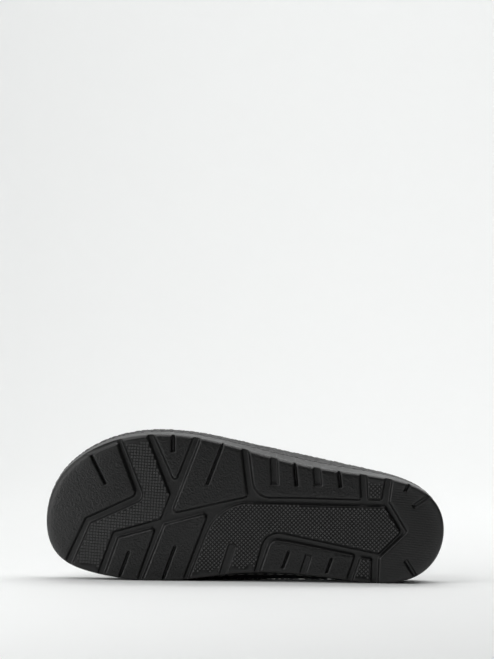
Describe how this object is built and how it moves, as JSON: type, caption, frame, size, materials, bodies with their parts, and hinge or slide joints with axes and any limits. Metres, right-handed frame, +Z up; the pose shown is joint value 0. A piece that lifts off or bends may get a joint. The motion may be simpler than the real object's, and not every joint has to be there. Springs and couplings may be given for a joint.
{
  "type": "slide sandal",
  "caption": "Left slide sandal lying on its inner side: lugged outsole, stitched rim, shaped footbed and one wide band over the instep, open at toe and heel.",
  "frame": {"origin": "centre of the bounding box at floor level, with the sandal lying on its inner side", "axes": "+X from toe to heel, +Y from the tread through the sole to the band, +Z up from the floor towards the outer side of the sole"},
  "size_m": [0.2832, 0.0782, 0.1067],
  "materials": {
    "outsole": "matt moulded black rubber with fine grain",
    "midsole": "grained black foam rim",
    "insole": "soft dark footbed cover",
    "upper": "plain black band"
  },
  "bodies": {
    "root": {"outsole": "outsole", "midsole": "midsole", "insole": "insole", "upper": "upper"}
  },
  "joints": []
}
